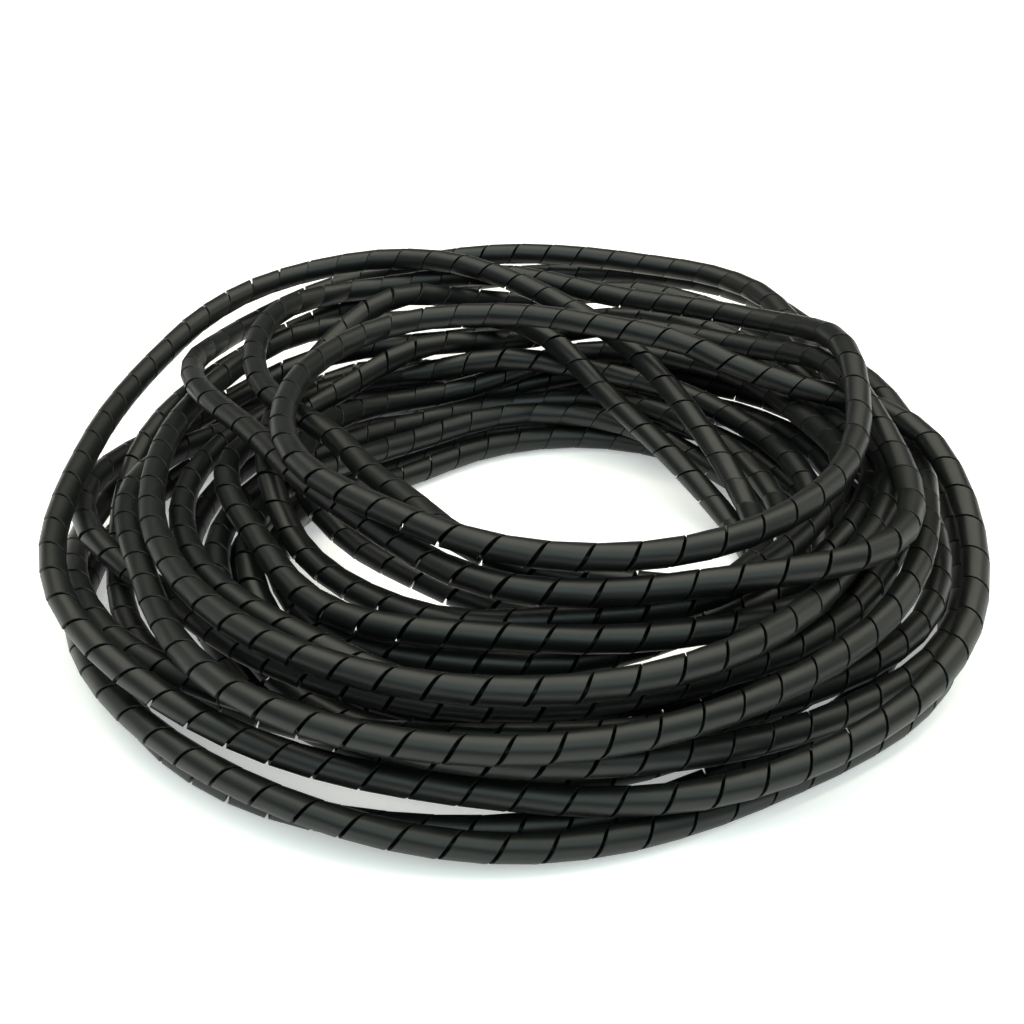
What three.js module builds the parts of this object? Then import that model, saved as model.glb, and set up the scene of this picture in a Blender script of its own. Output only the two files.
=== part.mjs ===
// A loose coil of spiral cable wrap: one length of cut polyethylene tubing, wound by hand and laid down.
// Millimetres, +Z up. The coil lies on z = 0 round the z axis.
// Seen from above, the wrap runs anticlockwise.
import * as THREE from "three";

// Driving sizes
const WRAP_DIAMETER = 6; // outside diameter of the wrap
const WRAP_SIDES = 8; // flat sides of the plain tube that stands for it
const CLEARANCE = 0.1; // air left between two strands that touch
const STEPS_PER_TURN = 36; // straight stretches in one turn
const FIRST_BEARING = 210; // degrees from +X of the tables' first column
const UNIT = WRAP_DIAMETER / 8; // one step of the tables

// Route of the wrap, read off the real coil in eighths of the wrap's diameter: one row for each turn and
// one column for each bearing, which are 210, 240, 270, 300, 330, 0, 30, 60, 90, 120, 150 and 180 degrees
// from +X.
// How far the wrap's centre line is from the z axis:
const DISTANCES = [
  [137, 143, 138, 129, 127, 110,  94,  84,  70,  60,  61,  70],
  [82,  95,  96,  95, 105, 114, 124, 151, 151, 158, 130,  83],
  [70,  72,  91, 103, 126, 114, 106, 104,  99,  89,  87,  91],
  [87,  96,  99, 107, 115, 115, 114, 106,  98, 104, 108, 106],
  [106, 112, 119, 121, 119, 103,  93,  91,  80,  70,  72,  82],
  [96, 102, 108, 108, 104,  94,  83,  79,  76,  66,  64,  76],
  [90, 103, 108, 104,  95,  90,  84,  87,  85,  76,  76,  88],
  [100, 112, 118, 113, 105,  99,  94,  92,  86,  97,  97, 103],
  [106, 107, 114, 114, 107, 107, 103,  98, 104, 113, 120, 132],
  [142, 147, 147, 140, 144, 134, 128, 120, 114, 120, 132, 137],
  [138, 131, 138, 135, 140, 138, 141, 166, 152, 140, 130, 127],
  [128, 127, 125, 124, 136, 134, 128, 120, 108, 118, 127, 136],
  [117, 121, 126, 123, 123, 121, 112, 104,  94,  94, 106, 120],
  [122, 139, 142, 133, 129, 133, 136, 143, 128, 107,  88,  78],
  [75,  79,  88,  99, 100, 107, 104,  98,  90,  84,  76,  68],
  [59,  61,  71,  78,  84,  77,  73,  81, 109, 151, 141, 137],
  [146, 139, 137, 146, 149, 126,  89,  72,  74,  77,  73,  71],
  [73,  74,  86,  96, 103, 108, 112, 108, 118, 138, 102,  59],
  [50,  55,  78,  90,  86,  74,  63,  68,  93, 128, 120, 112],
  [116, 124, 129, 125, 117, 117, 113, 108],
];

// How high the wrap's centre line is:
const HEIGHTS = [
  [4,  4,  4,  4,  4,  4,  4,  4,  4,  4,  8, 14],
  [20, 24, 28, 30, 32, 34, 39, 41, 45, 35, 38, 46],
  [47, 47, 47, 46, 44, 46, 45, 41, 35, 30, 28, 33],
  [33, 32, 36, 35, 27, 20, 14,  8,  4,  4,  4,  4],
  [8,  4,  4, 10, 11, 13, 13,  8,  4,  4,  8, 11],
  [12,  7,  6,  4,  6,  6,  8, 13, 11,  9, 16, 22],
  [24, 16, 17, 18, 21, 15, 18, 17, 12, 13, 18, 19],
  [22, 14, 14, 15, 15, 23, 23, 25, 31, 25, 27, 28],
  [30, 30, 24, 22, 23, 26, 21, 13, 11, 20,  7,  6],
  [13, 12,  6,  4,  4,  4,  4,  4,  4,  8, 12, 14],
  [20, 26, 24, 16, 16, 21, 32, 34, 35, 32, 27, 22],
  [15, 18, 25, 22, 20, 24, 29, 37, 32, 27, 20, 20],
  [24, 31, 33, 32, 32, 27, 26, 20, 14, 13, 20, 28],
  [30, 33, 33, 30, 29, 30, 36, 39, 38, 41, 36, 37],
  [28, 28, 31, 37, 39, 40, 37, 31, 23, 20, 26, 29],
  [25, 27, 26, 23, 20, 17, 29, 43, 48, 42, 38, 35],
  [30, 19, 16, 15, 24, 39, 50, 53, 53, 53, 54, 55],
  [56, 55, 55, 54, 54, 55, 52, 47, 44, 41, 45, 46],
  [45, 46, 46, 37, 12,  8, 19, 28, 39, 37, 36, 37],
  [38, 40, 40, 38, 36, 37, 36, 34],
];

// Settling of the strands on each other
const LEAST_SPACING = WRAP_DIAMETER / Math.cos(Math.PI / WRAP_SIDES) + CLEARANCE; // between centre lines
const SPACING_TOLERANCE = 0.02;
const SETTLING_PASSES = 400; // at most
const SMOOTHINGS = 2; // times that a push is spread along the strand
const LEAST_LOOP = 4 * WRAP_DIAMETER; // stretches nearer than this along the wrap can't be two strands
const LEAST_SQUARENESS = 1e-6; // below it two stretches count as parallel

const RADIUS = WRAP_DIAMETER / 2;
const LONGEST_STEP = (2 * Math.PI * Math.max(...DISTANCES.flat()) * UNIT) / STEPS_PER_TURN;
const SHORTEST_STEP = (2 * Math.PI * Math.min(...DISTANCES.flat()) * UNIT) / STEPS_PER_TURN;

// The chosen distances and heights as one smooth line, with the same share of a turn in every step.
function chosenRoute() {
  const heights = HEIGHTS.flat();
  const places = DISTANCES.flat().map((distance, i) => new THREE.Vector2(distance, heights[i]));
  const chosen = places.map((place) => place.multiplyScalar(UNIT));
  const profile = new THREE.SplineCurve(chosen);
  const turns = (chosen.length - 1) / DISTANCES[0].length;
  const steps = Math.round(turns * STEPS_PER_TURN);
  return Array.from({ length: steps + 1 }, (_, i) => {
    const { x: distance, y: height } = profile.getPoint(i / steps);
    const bearing = THREE.MathUtils.degToRad(FIRST_BEARING + (360 * i) / STEPS_PER_TURN);
    return new THREE.Vector3(distance * Math.cos(bearing), distance * Math.sin(bearing), height);
  });
}

// How far along two straight stretches, a to b and c to d, their nearest points lie, as shares from 0 to 1.
function nearestShares(a, b, c, d) {
  const ab = b.clone().sub(a);
  const cd = d.clone().sub(c);
  const ca = a.clone().sub(c);
  const across = ab.dot(cd);
  const squareness = ab.lengthSq() * cd.lengthSq() - across * across;
  const clamp = (share) => THREE.MathUtils.clamp(share, 0, 1);
  const crossing = (across * cd.dot(ca) - cd.lengthSq() * ab.dot(ca)) / squareness;
  const start = squareness > LEAST_SQUARENESS ? clamp(crossing) : 0.5;
  const second = clamp((across * start + cd.dot(ca)) / cd.lengthSq());
  const first = clamp((across * second - ab.dot(ca)) / ab.lengthSq());
  return [first, second];
}

// Strands that lie too close push each other apart, a little in each pass, and none sinks into the floor.
function settle(points) {
  const reach = 2 * (LONGEST_STEP + LEAST_SPACING);
  const neighbours = Math.ceil(LEAST_LOOP / SHORTEST_STEP);
  for (let pass = 0; pass < SETTLING_PASSES; pass++) {
    let push = points.map(() => new THREE.Vector3());
    let worst = LEAST_SPACING;
    for (let i = 0; i < points.length - 1; i++) {
      for (let j = i + neighbours; j < points.length - 1; j++) {
        if (points[i].distanceTo(points[j]) > reach) continue;
        const [first, second] = nearestShares(points[i], points[i + 1], points[j], points[j + 1]);
        const here = points[i].clone().lerp(points[i + 1], first);
        const there = points[j].clone().lerp(points[j + 1], second);
        const apart = here.sub(there);
        const distance = apart.length();
        if (distance >= LEAST_SPACING) continue;
        worst = Math.min(worst, distance);
        apart.multiplyScalar((0.5 * (LEAST_SPACING - distance)) / distance);
        push[i].addScaledVector(apart, 1 - first);
        push[i + 1].addScaledVector(apart, first);
        push[j].addScaledVector(apart, second - 1);
        push[j + 1].addScaledVector(apart, -second);
      }
    }
    if (worst > LEAST_SPACING - SPACING_TOLERANCE) break;
    for (let smoothing = 0; smoothing < SMOOTHINGS; smoothing++) {
      push = push.map((own, i) => {
        const before = push[Math.max(i - 1, 0)];
        const after = push[Math.min(i + 1, push.length - 1)];
        return own.clone().multiplyScalar(2).add(before).add(after).divideScalar(4);
      });
    }
    points.forEach((point, i) => {
      point.add(push[i]);
      point.z = Math.max(point.z, RADIUS);
    });
  }
  return points;
}

// The same points with the middle of the coil's outline on the z axis.
function centred(points) {
  const middle = new THREE.Box3().setFromPoints(points).getCenter(new THREE.Vector3());
  return points.map((point) => new THREE.Vector3(point.x - middle.x, point.y - middle.y, point.z));
}

// The settled route as a curve. A step of the tube ends on each settled point, and its section stays level,
// so the wrap rests on a flat side.
class WrapRoute extends THREE.Curve {
  constructor(points) {
    super();
    this.points = points;
  }
  getPoint(share, target = new THREE.Vector3()) {
    const place = share * (this.points.length - 1);
    const i = Math.min(Math.floor(place), this.points.length - 2);
    return target.lerpVectors(this.points[i], this.points[i + 1], place - i);
  }
  getPointAt(share, target) {
    return this.getPoint(share, target);
  }
  computeFrenetFrames(steps) {
    const last = this.points.length - 1;
    const tangents = [];
    const normals = [];
    const binormals = [];
    for (let i = 0; i <= steps; i++) {
      const before = this.points[Math.max(i - 1, 0)];
      const after = this.points[Math.min(i + 1, last)];
      const tangent = after.clone().sub(before).normalize();
      const sideways = new THREE.Vector3(0, 0, 1).cross(tangent).normalize();
      tangents.push(tangent);
      normals.push(sideways);
      binormals.push(tangent.clone().cross(sideways));
    }
    return { tangents, normals, binormals };
  }
}

// The section of the plain tube: a polygon with the wrap's diameter across its flats.
function wrapSection() {
  const cornerRadius = RADIUS / Math.cos(Math.PI / WRAP_SIDES);
  const corners = Array.from({ length: WRAP_SIDES }, (_, i) => {
    const angle = ((i + 0.5) * 2 * Math.PI) / WRAP_SIDES;
    return new THREE.Vector2(cornerRadius * Math.cos(angle), cornerRadius * Math.sin(angle));
  });
  return new THREE.Shape(corners);
}

const polyethylene = new THREE.MeshStandardMaterial({ color: 0x16181a, roughness: 0.42, metalness: 0 });

function spiralWrap() {
  const points = centred(settle(chosenRoute()));
  const geometry = new THREE.ExtrudeGeometry(wrapSection(), {
    steps: points.length - 1,
    extrudePath: new WrapRoute(points),
  });
  const mesh = new THREE.Mesh(geometry, polyethylene);
  mesh.name = "spiral_wrap";
  return mesh;
}

const coil = new THREE.Group();
coil.add(spiralWrap());
export default coil;
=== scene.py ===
# %% [markdown]
# # A loose coil of spiral cable wrap
#
# Spiral cable wrap is a plastic tube that a blade has slit in a helix from end to end. It winds round a
# bundle of wires like a ribbon. This one is 6 mm across and 10 m long. It has been gathered by hand into an
# untied ring, about 230 mm across, and laid down.
#
# The scene is built in the order of the cells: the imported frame, the route of the wrap, the camera, the
# ribbon itself, its plastic, the floor and the light.

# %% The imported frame
import math

import bpy
import numpy as np
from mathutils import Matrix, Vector


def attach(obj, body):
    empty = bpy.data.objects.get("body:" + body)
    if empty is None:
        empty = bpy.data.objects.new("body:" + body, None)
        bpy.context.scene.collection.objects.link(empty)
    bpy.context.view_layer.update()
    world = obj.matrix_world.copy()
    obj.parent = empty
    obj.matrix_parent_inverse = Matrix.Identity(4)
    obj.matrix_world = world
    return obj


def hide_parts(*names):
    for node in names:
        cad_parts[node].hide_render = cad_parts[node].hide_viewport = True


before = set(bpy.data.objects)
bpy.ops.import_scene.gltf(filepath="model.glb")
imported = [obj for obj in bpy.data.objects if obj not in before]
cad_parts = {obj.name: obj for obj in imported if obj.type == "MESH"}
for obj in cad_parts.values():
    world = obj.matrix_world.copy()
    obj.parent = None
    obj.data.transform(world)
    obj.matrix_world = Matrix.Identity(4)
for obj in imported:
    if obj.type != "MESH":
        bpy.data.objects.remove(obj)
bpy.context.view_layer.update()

# %% [markdown]
# ## The route of the wrap
#
# Everything hangs on where the wrap runs. A spiral of one formula would look like a spring, so the route
# is a table that was read off the real coil, turn by turn: how far the centre line is from the middle of
# the ring, and how high it is, at twelve bearings in each turn. The same table gives the solid in the
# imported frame, so both models lie in the same place.

# %% How far out the wrap runs
MM = 0.001
WRAP_DIAMETER = 6 * MM
RADIUS = WRAP_DIAMETER / 2
UNIT = WRAP_DIAMETER / 8  # the tables are in eighths of the wrap's diameter

DISTANCES = [
    [137, 143, 138, 129, 127, 110, 94, 84, 70, 60, 61, 70],
    [82, 95, 96, 95, 105, 114, 124, 151, 151, 158, 130, 83],
    [70, 72, 91, 103, 126, 114, 106, 104, 99, 89, 87, 91],
    [87, 96, 99, 107, 115, 115, 114, 106, 98, 104, 108, 106],
    [106, 112, 119, 121, 119, 103, 93, 91, 80, 70, 72, 82],
    [96, 102, 108, 108, 104, 94, 83, 79, 76, 66, 64, 76],
    [90, 103, 108, 104, 95, 90, 84, 87, 85, 76, 76, 88],
    [100, 112, 118, 113, 105, 99, 94, 92, 86, 97, 97, 103],
    [106, 107, 114, 114, 107, 107, 103, 98, 104, 113, 120, 132],
    [142, 147, 147, 140, 144, 134, 128, 120, 114, 120, 132, 137],
    [138, 131, 138, 135, 140, 138, 141, 166, 152, 140, 130, 127],
    [128, 127, 125, 124, 136, 134, 128, 120, 108, 118, 127, 136],
    [117, 121, 126, 123, 123, 121, 112, 104, 94, 94, 106, 120],
    [122, 139, 142, 133, 129, 133, 136, 143, 128, 107, 88, 78],
    [75, 79, 88, 99, 100, 107, 104, 98, 90, 84, 76, 68],
    [59, 61, 71, 78, 84, 77, 73, 81, 109, 151, 141, 137],
    [146, 139, 137, 146, 149, 126, 89, 72, 74, 77, 73, 71],
    [73, 74, 86, 96, 103, 108, 112, 108, 118, 138, 102, 59],
    [50, 55, 78, 90, 86, 74, 63, 68, 93, 128, 120, 112],
    [116, 124, 129, 125, 117, 117, 113, 108],
]
print("rows in the table:", len(DISTANCES))

# %% How high it runs
PLACES_PER_TURN = 12  # a column for every 30 degrees

HEIGHTS = [
    [4, 4, 4, 4, 4, 4, 4, 4, 4, 4, 8, 14],
    [20, 24, 28, 30, 32, 34, 39, 41, 45, 35, 38, 46],
    [47, 47, 47, 46, 44, 46, 45, 41, 35, 30, 28, 33],
    [33, 32, 36, 35, 27, 20, 14, 8, 4, 4, 4, 4],
    [8, 4, 4, 10, 11, 13, 13, 8, 4, 4, 8, 11],
    [12, 7, 6, 4, 6, 6, 8, 13, 11, 9, 16, 22],
    [24, 16, 17, 18, 21, 15, 18, 17, 12, 13, 18, 19],
    [22, 14, 14, 15, 15, 23, 23, 25, 31, 25, 27, 28],
    [30, 30, 24, 22, 23, 26, 21, 13, 11, 20, 7, 6],
    [13, 12, 6, 4, 4, 4, 4, 4, 4, 8, 12, 14],
    [20, 26, 24, 16, 16, 21, 32, 34, 35, 32, 27, 22],
    [15, 18, 25, 22, 20, 24, 29, 37, 32, 27, 20, 20],
    [24, 31, 33, 32, 32, 27, 26, 20, 14, 13, 20, 28],
    [30, 33, 33, 30, 29, 30, 36, 39, 38, 41, 36, 37],
    [28, 28, 31, 37, 39, 40, 37, 31, 23, 20, 26, 29],
    [25, 27, 26, 23, 20, 17, 29, 43, 48, 42, 38, 35],
    [30, 19, 16, 15, 24, 39, 50, 53, 53, 53, 54, 55],
    [56, 55, 55, 54, 54, 55, 52, 47, 44, 41, 45, 46],
    [45, 46, 46, 37, 12, 8, 19, 28, 39, 37, 36, 37],
    [38, 40, 40, 38, 36, 37, 36, 34],
]


def flat(table):
    return [value for row in table for value in row]


chosen = np.array([flat(DISTANCES), flat(HEIGHTS)], float).T * UNIT
turns = (len(chosen) - 1) / PLACES_PER_TURN
print(len(chosen), "chosen places, %.2f turns" % turns)

# %% [markdown]
# ## A smooth line through the chosen places
#
# A Catmull-Rom spline goes through every chosen place and has no corner, which is how a stiff plastic tube
# bends. It is drawn through the distances and heights first, and only then wrapped round the axis.


# %% Catmull-Rom spline
def spline(points, places):
    """The points of a Catmull-Rom spline at the given places; place 2.5 is halfway from point 2 to 3."""
    last = len(points) - 1
    first = np.clip(np.floor(places).astype(int), 0, last - 1)
    t = (places - first)[:, None]
    before = points[np.maximum(first - 1, 0)]
    here = points[first]
    there = points[first + 1]
    after = points[np.minimum(first + 2, last)]
    leaving = (there - before) / 2
    arriving = (after - here) / 2
    cubic = 2 * here - 2 * there + leaving + arriving
    square = -3 * here + 3 * there - 2 * leaving - arriving
    return cubic * t**3 + square * t**2 + leaving * t + here


row = np.arange(4.0)[:, None]
print("place 1.5 on the line through 0, 1, 2 and 3:", spline(row, np.array([1.5]))[0, 0])

# %% The chosen route
STEPS_PER_TURN = 36
FIRST_BEARING = 210  # degrees from +X of the tables' first column

steps = round(turns * STEPS_PER_TURN)
step_numbers = np.arange(steps + 1)
profile = spline(chosen, step_numbers / steps * (len(chosen) - 1))
bearings = np.radians(FIRST_BEARING + 360 * step_numbers / STEPS_PER_TURN)
distances = profile[:, 0]
heights = profile[:, 1]
route = np.stack([distances * np.cos(bearings), distances * np.sin(bearings), heights], axis=1)
print("chosen route:", len(route), "points")

# %% [markdown]
# ## Letting the strands settle on each other
#
# Heights are hard to read off where strands cross, so at some crossings the table lets one strand pass into
# another. A physics run could part them, but it would also move everything else. Here each pair of stretches
# that is too close pushes itself apart by just what is missing, and the push is spread along both strands.

# %% Which stretches may be too close
PLAIN_SIDES = 8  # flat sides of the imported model's tube
CLEARANCE = 0.1 * MM  # air left between two of its strands
LEAST_SPACING = WRAP_DIAMETER / math.cos(math.pi / PLAIN_SIDES) + CLEARANCE  # between centre lines
LEAST_LOOP = 4 * WRAP_DIAMETER  # stretches nearer than this along the wrap can't be two strands

longest_step = 2 * math.pi * chosen[:, 0].max() / STEPS_PER_TURN
shortest_step = 2 * math.pi * chosen[:, 0].min() / STEPS_PER_TURN
neighbours = math.ceil(LEAST_LOOP / shortest_step)
pairs = np.array([(i, j) for i in range(steps) for j in range(i + neighbours, steps)])
print(len(pairs), "pairs of stretches, kept apart by %.2f mm" % (LEAST_SPACING / MM))

# %% Pushes
NEARLY_PARALLEL = 1e-18  # two stretches whose squareness is below this count as parallel


def dot(a, b):
    return (a * b).sum(axis=1)


def pushes(points):
    """What each point has to move by, and the least spacing that was found."""
    between = np.linalg.norm(points[pairs[:, 0]] - points[pairs[:, 1]], axis=1)
    i, j = pairs[between <= 2 * (longest_step + LEAST_SPACING)].T
    a, c = points[i], points[j]
    ab, cd = points[i + 1] - a, points[j + 1] - c
    ca = a - c
    across = dot(ab, cd)
    squareness = dot(ab, ab) * dot(cd, cd) - across**2
    crossing = (across * dot(cd, ca) - dot(cd, cd) * dot(ab, ca)) / np.maximum(squareness, NEARLY_PARALLEL)
    first = np.where(squareness > NEARLY_PARALLEL, np.clip(crossing, 0, 1), 0.5)
    second = np.clip((across * first + dot(cd, ca)) / dot(cd, cd), 0, 1)
    first = np.clip((across * second - dot(ab, ca)) / dot(ab, ab), 0, 1)
    apart = a + ab * first[:, None] - c - cd * second[:, None]
    distance = np.linalg.norm(apart, axis=1)
    tight = distance < LEAST_SPACING
    move = apart * ((LEAST_SPACING - distance) / distance / 2)[:, None]
    push = np.zeros_like(points)
    for points_moved, share in ((i, 1 - first), (i + 1, first), (j, second - 1), (j + 1, -second)):
        np.add.at(push, points_moved[tight], (move * share[:, None])[tight])
    return push, distance.min()


print("least spacing before settling: %.2f mm" % (pushes(route)[1] / MM))

# %% Settling
MOST_PASSES = 400
SMOOTHINGS = 2  # times that a push is spread along the strand
SPACING_TOLERANCE = 0.02 * MM

for settling in range(MOST_PASSES):
    push, spacing = pushes(route)
    if spacing > LEAST_SPACING - SPACING_TOLERANCE:
        break
    for smoothing in range(SMOOTHINGS):
        padded = np.concatenate([push[:1], push, push[-1:]])
        push = (padded[:-2] + 2 * padded[1:-1] + padded[2:]) / 4
    route = route + push
    route[:, 2] = np.maximum(route[:, 2], RADIUS)

middle = (route.min(axis=0) + route.max(axis=0)) / 2 * [1, 1, 0]
route = route - middle
print("settled in", settling, "passes, least spacing %.2f mm" % (spacing / MM))

# %% [markdown]
# ## The camera
#
# The camera looks down at the ring by 30 degrees from about 0.4 m away, which is close: the front strands
# look more than one and a half times as thick as the back ones. It is made before the wrap, because the
# frame's last check looks through it at how the wrap is laid.

# %% Camera
CAMERA_RISE = math.radians(30)
CAMERA_DISTANCE = 524 * UNIT
FOCUS_HEIGHT = 25 * UNIT
SENSOR = 36
PIXELS = 1024
FOCAL_PIXELS = 1627
SHIFT_PIXELS = -24  # the ring lies a little above the middle of the picture

focus = Vector((0, 0, FOCUS_HEIGHT)) - Vector(middle)
bpy.ops.object.camera_add()
camera = bpy.context.object
camera.name = "photo_camera"
camera.location = focus + CAMERA_DISTANCE * Vector((0, -math.cos(CAMERA_RISE), math.sin(CAMERA_RISE)))
camera.rotation_euler = (math.pi / 2 - CAMERA_RISE, 0, 0)
camera.data.sensor_width = SENSOR
camera.data.lens = SENSOR * FOCAL_PIXELS / PIXELS
camera.data.shift_y = SHIFT_PIXELS / PIXELS
bpy.context.scene.camera = camera
print("camera at", [round(value, 3) for value in camera.location], "lens %.1f mm" % camera.data.lens)

# %% [markdown]
# ## The centre line, finely
#
# The ribbon needs the route at any distance along it: the place, which way the wrap runs, which way is
# sideways and up, and how hard it bends. These are worked out once, every millimetre.

# %% Centre line
FINE_POINTS = 20  # in each step of the route
STATION = 1 * MM

fine = spline(route, np.linspace(0, steps, steps * FINE_POINTS + 1))
fine[:, 2] = np.maximum(fine[:, 2], RADIUS)
along = np.concatenate([[0], np.cumsum(np.linalg.norm(np.diff(fine, axis=0), axis=1))])
LENGTH = along[-1]
stations = np.arange(0, LENGTH, STATION)
centre = np.stack([np.interp(stations, along, fine[:, axis]) for axis in range(3)], axis=1)
print("wrap %.2f m long, %d stations" % (LENGTH, len(stations)))

# %% Directions along it
FORWARD_MEAN = 9  # stations
BEND_MEAN = 25


def unit(vectors):
    return vectors / np.linalg.norm(vectors, axis=1)[:, None]


def softened(vectors, width):
    """A running mean over an odd number of stations; past an end, the end's own value counts again."""
    before = np.repeat(vectors[:1], width // 2, axis=0)
    after = np.repeat(vectors[-1:], width // 2, axis=0)
    padded = np.concatenate([before, vectors, after])
    sums = np.cumsum(np.concatenate([np.zeros((1, 3)), padded]), axis=0)
    return (sums[width:] - sums[:-width]) / width


def at(values, spots):
    """The values of the stations at any distances along the wrap."""
    return np.stack([np.interp(spots, stations, values[:, axis]) for axis in range(3)], axis=1)


forward = unit(np.gradient(centre, stations, axis=0))
forward = unit(softened(forward, FORWARD_MEAN))
bend = softened(np.gradient(forward, stations, axis=0), BEND_MEAN)  # points into the bend, 1 / radius long
sideways = unit(np.cross([0, 0, 1], forward))
upward = np.cross(forward, sideways)
tightest = 1 / np.linalg.norm(bend, axis=1).max()
print("tightest bend %.0f mm" % (tightest / MM))

# %% [markdown]
# ## The ribbon
#
# The slit leaves a ribbon that winds to the left round the wrap. A plain tube with dark lines painted on
# would lose the open notches on the outside of each bend, where light shows through. A Screw modifier and
# a Curve modifier would stretch the ribbon in a bend, while the real one keeps its width and opens its
# slit. So the ribbon is made section by section. Each section has six corners, because its two outer edges
# are rounded off, and it is as wide in a bend as on the straight.

# %% Sections of the ribbon
LEAD = 12.6 * UNIT  # distance along the wrap from one slit to the next
SLIT = 0.56 * MM  # width of the slit where the wrap is straight
WALL = 0.9 * MM
EDGE = 0.1 * MM  # how much of the ribbon's edge is rounded off
LIFT = 0.06 * MM  # how far the leading edge stands proud of the trailing one
PARTS = 15  # sections in one turn of the ribbon
SKIPPED = 2  # sections at the start, where the cut end would leave only a sliver
LAST_WIDTH = 0.8 * MM  # least width that the cut leaves of the last section
FIRST_ANGLE = math.radians(40)  # how far round the wrap the ribbon starts

strip = LEAD - SLIT
numbers = np.arange(math.ceil(LENGTH / LEAD * PARTS) + PARTS)
place = (numbers - PARTS / 2 + SKIPPED) * LEAD / PARTS
place = place[place < LENGTH + strip / 2 - LAST_WIDTH]
angle = (-2 * math.pi * numbers / PARTS + FIRST_ANGLE)[: len(place)]
print("ribbon %.2f mm wide, %d sections" % (strip / MM, len(place)))

# %% Corners of the sections
# Each corner is given by its side of the ribbon's middle, how far it is moved along the wrap from there,
# and how far it lies outside the wrap's radius.
CORNERS = [
    (-0.5, 0, -EDGE),
    (-0.5, EDGE, -LIFT / 2),
    (0.5, -EDGE, LIFT / 2),
    (0.5, 0, -EDGE),
    (0.5, 0, -WALL),
    (-0.5, 0, -WALL),
]
ROUNDS = 2  # times that a corner's place along the bend is worked out again


def outward(held):
    """The way out from the centre line to the ribbon, at distances along the wrap."""
    return np.cos(angle)[:, None] * at(sideways, held) + np.sin(angle)[:, None] * at(upward, held)


def corner(side, inset, depth):
    """One corner of the section, at every place along the ribbon."""
    reach = RADIUS + depth
    held = np.clip(place, 0, LENGTH)
    for again in range(ROUNDS):
        stretch = 1 - reach * dot(outward(held), at(bend, held))
        spot = place + (side * strip + inset) / stretch
        held = np.clip(spot, 0, LENGTH)
    return at(centre, held) + reach * outward(held)


vertices = np.stack([corner(*values) for values in CORNERS], axis=1).reshape(-1, 3)
print(len(vertices), "corners")

# %% Faces of the ribbon
sides = len(CORNERS)
last = len(vertices) - sides
faces = [list(range(sides))[::-1]]
for first in range(0, last, sides):
    for side in range(sides):
        next_side = (side + 1) % sides
        following = first + sides
        faces.append([first + side, first + next_side, following + next_side, following + side])
faces.append(list(range(last, last + sides)))

mesh = bpy.data.meshes.new("spiral_ribbon")
mesh.from_pydata(vertices.tolist(), [], faces)
mesh.update()
ribbon = bpy.data.objects.new("spiral_ribbon", mesh)
bpy.context.collection.objects.link(ribbon)
print("ribbon:", len(mesh.vertices), "vertices,", len(faces), "faces")

# %% [markdown]
# ## Clean ends and smooth sides
#
# Where the cut end crosses the slit, the ribbon runs out to a tip and some corners fall on each other.
# Merging them keeps the surface closed. The sides are then shaded smooth, but not across the cut edges,
# which catch the light as thin lines.

# %% Ribbon finish
MERGED_WITHIN = 0.02 * MM
SHARP_FROM = math.radians(32)  # faces that meet at more than this keep a sharp edge

bpy.ops.object.select_all(action="DESELECT")
ribbon.select_set(True)
bpy.context.view_layer.objects.active = ribbon
bpy.ops.object.mode_set(mode="EDIT")
bpy.ops.mesh.select_all(action="SELECT")
bpy.ops.mesh.remove_doubles(threshold=MERGED_WITHIN)
bpy.ops.mesh.select_all(action="SELECT")
bpy.ops.mesh.normals_make_consistent(inside=False)
bpy.ops.object.mode_set(mode="OBJECT")
bpy.ops.object.shade_smooth_by_angle(angle=SHARP_FROM)
triangles = sum(len(face.vertices) - 2 for face in mesh.polygons)
print("ribbon finished:", len(mesh.vertices), "vertices,", triangles, "triangles")

# %% [markdown]
# ## Black polyethylene
#
# The plastic is black all through, smooth from the die and a little waxy: it reflects a room as a broad
# soft band. Handling leaves small pits and a thin haze on it. A Principled shader of one flat black would
# look like paint, so noise textures make its colour, gloss and relief a little uneven. They read Object
# coordinates, because the unevenness follows no line of the ribbon.


# %% Plastic
def node(tree, kind, place, **values):
    """A new shader node with the given values on its own sockets; an underscore stands for a space."""
    made = tree.nodes.new(kind)
    made.location = place
    for name, value in values.items():
        made.inputs[name.replace("_", " ")].default_value = value
    return made


plastic = bpy.data.materials.new("black_polyethylene")
plastic.use_nodes = True
tree = plastic.node_tree
shader = tree.nodes["Principled BSDF"]
shader.inputs["IOR"].default_value = 1.42
shader.inputs["Metallic"].default_value = 0
solid_place = node(tree, "ShaderNodeTexCoord", (-1500, -200))
ribbon.data.materials.append(plastic)
print("ribbon's materials:", [material.name for material in ribbon.data.materials])


# %% Colour, gloss and relief of the plastic
def noise(place, **values):
    """A noise texture in the plastic, in Object coordinates, so its Scale is in blots per metre."""
    made = node(tree, "ShaderNodeTexNoise", place, **values)
    tree.links.new(solid_place.outputs["Object"], made.inputs["Vector"])
    return made


# Colour: black with a slight green, in patches of two tones
patches = noise((-1000, 200), Scale=55, Detail=3, Roughness=0.55)
tint = node(tree, "ShaderNodeValToRGB", (-700, 200))
darker, lighter = tint.color_ramp.elements
darker.position = 0.35
darker.color = (0.0018, 0.0030, 0.0025, 1)
lighter.position = 0.7
lighter.color = (0.0034, 0.0048, 0.0042, 1)
tree.links.new(patches.outputs["Fac"], tint.inputs["Fac"])
tree.links.new(tint.outputs["Color"], shader.inputs["Base Color"])

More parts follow.
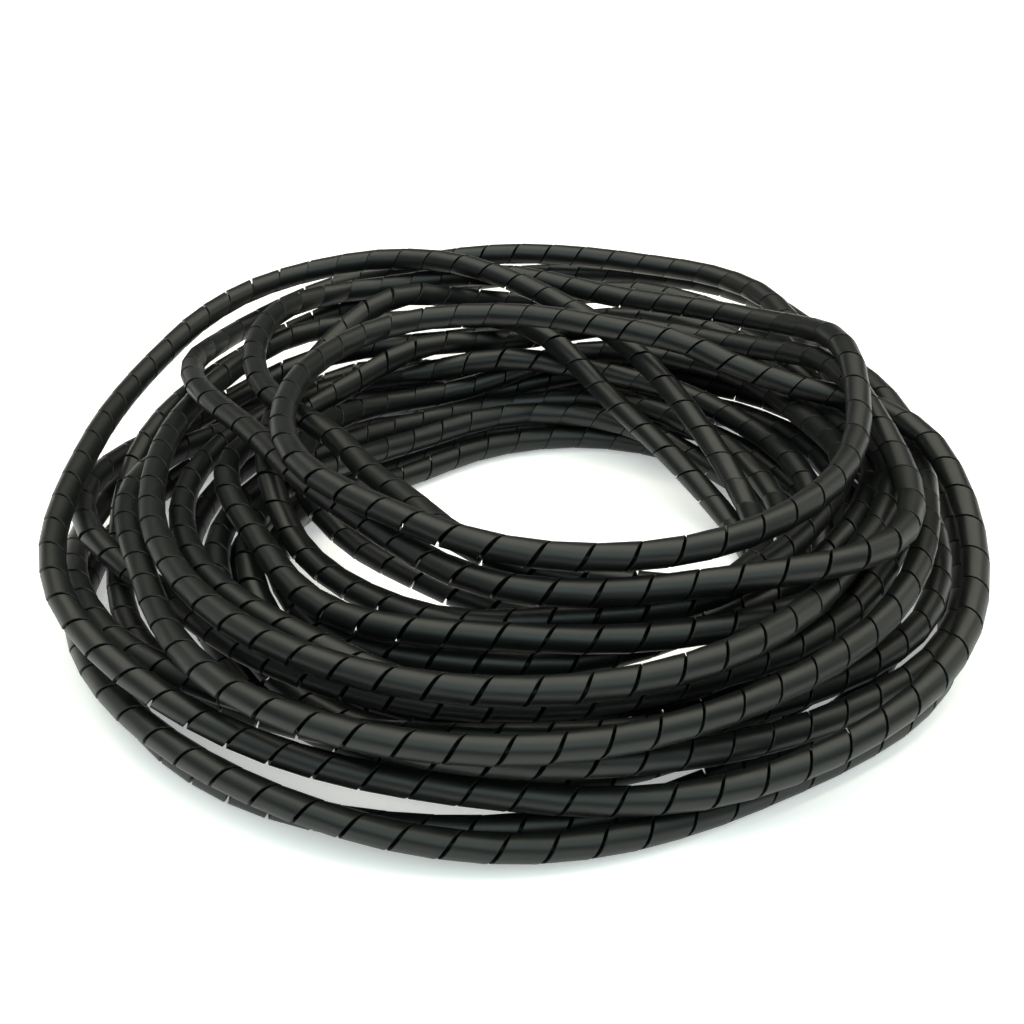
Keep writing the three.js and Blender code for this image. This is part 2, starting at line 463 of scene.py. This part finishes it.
# Gloss: a thin haze in small patches
haze = noise((-1000, -150), Scale=140, Detail=4, Roughness=0.6)
gloss = node(tree, "ShaderNodeMapRange", (-700, -150), From_Min=0.3, From_Max=0.75, To_Min=0.38, To_Max=0.46)
tree.links.new(haze.outputs["Fac"], gloss.inputs["Value"])
tree.links.new(gloss.outputs["Result"], shader.inputs["Roughness"])

# Relief: faint waves left by the die, and the pits of handling
waves = noise((-1000, -500), Scale=90, Detail=2, Roughness=0.5)
pits = noise((-1000, -750), Scale=1400, Detail=3, Roughness=0.6)
wave_bump = node(tree, "ShaderNodeBump", (-500, -500), Strength=0.15, Distance=0.2 * MM)
pit_bump = node(tree, "ShaderNodeBump", (-300, -600), Strength=0.12, Distance=0.03 * MM)
tree.links.new(waves.outputs["Fac"], wave_bump.inputs["Height"])
tree.links.new(pits.outputs["Fac"], pit_bump.inputs["Height"])
tree.links.new(wave_bump.outputs["Normal"], pit_bump.inputs["Normal"])
tree.links.new(pit_bump.outputs["Normal"], shader.inputs["Normal"])
print("plastic:", len(tree.nodes), "nodes,", len(tree.links), "links")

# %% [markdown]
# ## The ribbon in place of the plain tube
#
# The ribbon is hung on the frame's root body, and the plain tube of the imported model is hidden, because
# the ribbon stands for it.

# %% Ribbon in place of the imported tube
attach(ribbon, "root")
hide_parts("spiral_wrap")

# %% [markdown]
# ## Floor and light
#
# The coil lies on a plain white floor in even light, with hardly a shadow. Black plastic has hardly any
# light of its own and shows the lamps instead. So two lamps, far wider than the coil, hang overhead: a warm
# one a little behind and a cooler one in front. They give each strand its broad soft band and leave the
# undersides dark. Weak lamps stand at the sides. The floor glows a little by itself, so that it stays white
# between the strands, and more further off. The room is white along the horizon and dark above it.

# %% Floor
FLOOR_WIDTH = 8
FLOOR_DROP = 0.4 * MM  # below the wrap's lowest points, so that no two faces share a plane

bpy.ops.mesh.primitive_plane_add(size=FLOOR_WIDTH, location=(0, 0, -FLOOR_DROP))
floor = bpy.context.object
floor.name = "floor"
white = bpy.data.materials.new("pale_floor")
white.use_nodes = True
floor_tree = white.node_tree
sheet = floor_tree.nodes["Principled BSDF"]
sheet.inputs["Base Color"].default_value = (0.9, 0.9, 0.89, 1)
sheet.inputs["Roughness"].default_value = 0.9
sheet.inputs["Emission Color"].default_value = (1, 1, 1, 1)
floor_place = node(floor_tree, "ShaderNodeTexCoord", (-900, 0))
from_middle = node(floor_tree, "ShaderNodeVectorMath", (-700, 0))
from_middle.operation = "LENGTH"
glow = node(floor_tree, "ShaderNodeMapRange", (-500, 0), From_Min=0.5, From_Max=1.5, To_Min=0.35, To_Max=1)
floor_tree.links.new(floor_place.outputs["Object"], from_middle.inputs[0])
floor_tree.links.new(from_middle.outputs["Value"], glow.inputs["Value"])
floor_tree.links.new(glow.outputs["Result"], sheet.inputs["Emission Strength"])
floor.data.materials.append(white)
print("floor:", FLOOR_WIDTH, "m wide")


# %% Lamps
def softbox(name, place, size, watts, colour):
    """A flat lamp at the place, turned to the coil."""
    bpy.ops.object.light_add(type="AREA", location=place)
    lamp = bpy.context.object
    lamp.name = name
    lamp.data.shape = "RECTANGLE"
    lamp.data.size, lamp.data.size_y = size
    lamp.data.energy = watts
    lamp.data.color = colour
    lamp.rotation_euler = (Vector((0, 0, 0)) - Vector(place)).to_track_quat("-Z", "Y").to_euler()
    return lamp


lamps = [
    softbox("overhead", place=(0, 0.25, 1.2), size=(2.2, 1.4), watts=30, colour=(1.0, 0.98, 0.85)),
    softbox("front", place=(0, -0.85, 0.95), size=(2.0, 0.9), watts=12.5, colour=(0.8, 1.0, 0.97)),
    softbox("left_side", place=(-1.5, 0.3, 0.6), size=(0.9, 0.9), watts=2.5, colour=(0.97, 1, 0.97)),
    softbox("right_side", place=(1.5, 0.3, 0.6), size=(0.9, 0.9), watts=4.5, colour=(1, 1, 0.88)),
]
print("lamps:", [lamp.name for lamp in lamps])

# %% The room
WHITE_BELOW = 0.03  # sine of the angle above the horizon
DARK_ABOVE = 0.15
DARK_STRENGTH = 0.03

world = bpy.data.worlds.new("dim_studio")
bpy.context.scene.world = world
world.use_nodes = True
room = world.node_tree
walls = room.nodes["Background"]
walls.inputs["Color"].default_value = (1, 1, 1, 1)
direction = node(room, "ShaderNodeTexCoord", (-700, 0))
parts = node(room, "ShaderNodeSeparateXYZ", (-500, 0))
fade = node(room, "ShaderNodeMapRange", (-300, 0), From_Min=WHITE_BELOW, From_Max=DARK_ABOVE)
fade.inputs["To Min"].default_value = 1
fade.inputs["To Max"].default_value = DARK_STRENGTH
room.links.new(direction.outputs["Generated"], parts.inputs["Vector"])
room.links.new(parts.outputs["Z"], fade.inputs["Value"])
room.links.new(fade.outputs["Result"], walls.inputs["Strength"])

bpy.context.scene.view_settings.view_transform = "Standard"  # a film curve would turn the white grey
print("room:", world.name, "seen with the view transform", bpy.context.scene.view_settings.view_transform)
